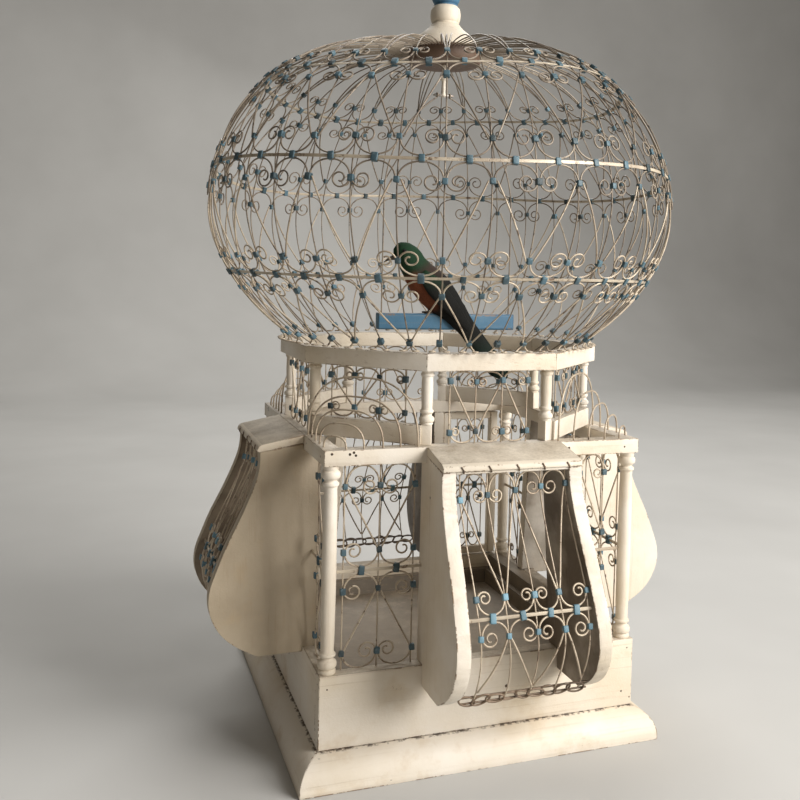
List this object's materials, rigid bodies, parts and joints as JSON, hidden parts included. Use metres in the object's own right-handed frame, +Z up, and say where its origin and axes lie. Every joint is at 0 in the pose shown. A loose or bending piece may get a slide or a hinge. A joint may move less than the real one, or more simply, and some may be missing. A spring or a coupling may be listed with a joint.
{
  "type": "bird cage on stand",
  "caption": "Domed wire bird cage with projecting scrollwork bays, turned posts and a drum, on a square wooden plinth with a sliding tray, a door and a swing.",
  "frame": {"origin": "centre of the underside of the skirt", "axes": "+Z up, -Y is the front, +X is the right-hand side seen from the front"},
  "size_m": [0.4504, 0.4504, 0.7145],
  "materials": {
    "ivory_wood": "aged ivory paint on wood, worn and cracked",
    "wire": "ivory painted wire, rubbed and rusted in places",
    "clamp_blue": "faded teal blue paint on bent strip",
    "blue_wood": "blue paint on wood",
    "dark_wood": "bare brown wood",
    "tray_wood": "bare worn wood",
    "steel": "dull steel",
    "bird_paint": "painted carved wood, green, rust and near black"
  },
  "bodies": {
    "cage": {"base_floor": "tray_wood", "bay_bars": "wire", "bay_cheeks_back": "ivory_wood", "bay_cheeks_front": "ivory_wood", "bay_cheeks_left": "ivory_wood", "bay_cheeks_right": "ivory_wood", "bay_fascias": "ivory_wood", "bay_roofs": "ivory_wood", "bay_wires_back": "wire", "bay_wires_front": "wire", "bay_wires_left": "wire", "bay_wires_right": "wire", "button_screw": "steel", "corner_hoops": "wire", "corner_posts": "ivory_wood", "crown": "dark_wood", "crown_hook": "dark_wood", "dome_rings": "wire", "dome_wires_foot": "wire", "dome_wires_low": "wire", "dome_wires_mid": "wire", "dome_wires_top": "wire", "door_pin": "steel", "drum_columns": "ivory_wood", "drum_ring_diagonal": "ivory_wood", "drum_ring_square": "ivory_wood", "drum_sills": "ivory_wood", "drum_wires": "wire", "finial_ball": "ivory_wood", "finial_bead": "blue_wood", "finial_neck": "ivory_wood", "finial_tip": "ivory_wood", "frame_back": "ivory_wood", "frame_front": "ivory_wood", "frame_left": "ivory_wood", "frame_right": "ivory_wood", "panel_bars": "wire", "panel_wires": "wire", "plinth_back": "ivory_wood", "plinth_front": "ivory_wood", "plinth_left": "ivory_wood", "plinth_right": "ivory_wood", "ring_clamps": "clamp_blue", "skirt_back": "ivory_wood", "skirt_front": "ivory_wood", "skirt_left": "ivory_wood", "skirt_right": "ivory_wood", "tray_guides": "tray_wood"},
    "tray": {"tray": "tray_wood", "tray_face": "ivory_wood", "tray_knob": "ivory_wood"},
    "door": {"door_stiles": "ivory_wood", "door_rails": "ivory_wood", "door_wires": "wire", "door_knob": "ivory_wood"},
    "button": {"door_button": "ivory_wood"},
    "swing": {"swing_wires": "wire", "perch": "blue_wood", "bird": "bird_paint"}
  },
  "joints": [
    {"name": "tray_slide", "type": "slide", "parent": "cage", "child": "tray", "axis": [0, 1, 0], "range_m": [0, 0.2]},
    {"name": "door_hinge", "type": "hinge", "parent": "cage", "child": "door", "pos_m": [0.122, 0.1395, 0.173], "axis": [0, 0, -1], "range_deg": [0, 105]},
    {"name": "button_turn", "type": "hinge", "parent": "cage", "child": "button", "pos_m": [0.072, 0.1462, 0.2645], "axis": [0, 1, 0], "range_deg": [0, 90]},
    {"name": "swing_hinge", "type": "hinge", "parent": "cage", "child": "swing", "pos_m": [0, 0, 0.59], "axis": [1, 0, 0], "range_deg": [-18, 18]}
  ]
}
